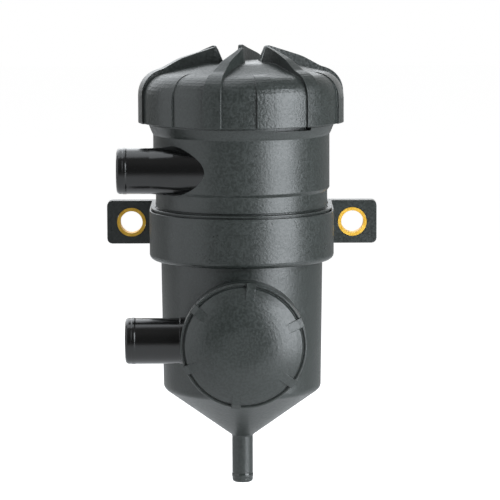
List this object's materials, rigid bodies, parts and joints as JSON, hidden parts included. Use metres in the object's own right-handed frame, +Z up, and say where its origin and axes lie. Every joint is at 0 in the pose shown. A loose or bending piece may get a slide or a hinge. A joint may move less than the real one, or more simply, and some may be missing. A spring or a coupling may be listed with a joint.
{
  "type": "oil catch can",
  "caption": "Wall-mounted crankcase oil separator: two-part black housing, finned screw cap, side hose spigots, round valve cover, cone with drain.",
  "frame": {"origin": "midway between the two bolt holes, on the bracket's back face", "axes": "+Z up along the housing, +Y out of the bracket's back face towards what it is bolted to, +X to the right seen from the front"},
  "size_m": [0.158, 0.1381, 0.2505],
  "materials": {
    "housing_plastic": "satin moulded glass-filled plastic, charcoal",
    "cap_plastic": "satin moulded plastic, charcoal",
    "cover_plastic": "satin moulded plastic, charcoal",
    "bracket_plastic": "satin moulded plastic, charcoal",
    "yellow_bush": "yellow metal, turned",
    "seal_rubber": "matt black rubber",
    "inner_plastic": "natural nylon",
    "element_plastic": "natural nylon",
    "spring_steel": "drawn spring wire",
    "filter_fleece": "wound fibre"
  },
  "bodies": {
    "housing": {"lower_housing": "housing_plastic", "valve_chamber": "housing_plastic", "outlet_spigot": "housing_plastic", "upper_housing": "housing_plastic", "housing_seal": "seal_rubber", "mounting_bracket": "bracket_plastic", "left_bush": "yellow_bush", "right_bush": "yellow_bush", "valve_cover": "cover_plastic", "diaphragm": "seal_rubber", "control_spring": "spring_steel", "element_top_plate": "element_plastic", "element_handle": "element_plastic", "element_seal": "seal_rubber", "core_tube": "element_plastic", "filter_media": "filter_fleece", "outer_cage": "element_plastic", "element_bottom_plate": "element_plastic", "bypass_spring": "spring_steel", "bypass_retainer": "element_plastic"},
    "cap_ring": {"cap_seal": "seal_rubber"},
    "cap": {"service_cap": "cap_plastic"},
    "valve_plate": {"diaphragm_plate": "inner_plastic"},
    "bypass_poppet": {"bypass_valve": "inner_plastic"}
  },
  "joints": [
    {"name": "cap_lift", "type": "slide", "parent": "housing", "child": "cap_ring", "axis": [0, 0, 1], "range_m": [0, 0.0241]},
    {"name": "cap_turn", "type": "hinge", "parent": "cap_ring", "child": "cap", "pos_m": [0, -0.056, 0.0784], "axis": [0, 0, 1], "range_deg": [0, 480]},
    {"name": "control_valve", "type": "slide", "parent": "housing", "child": "valve_plate", "axis": [0, 1, 0], "range_m": [0, 0.0034], "stiffness_N_per_m": 150, "springref_m": -0.002, "deforming": ["diaphragm", "control_spring"]},
    {"name": "bypass_valve", "type": "slide", "parent": "housing", "child": "bypass_poppet", "axis": [0, 0, -1], "range_m": [0, 0.004], "stiffness_N_per_m": 100, "springref_m": -0.003, "deforming": ["bypass_spring"]}
  ],
  "couplings": [
    {"joint": "cap_lift", "follows": "cap_turn", "m_per_rad": 0.0028648}
  ]
}
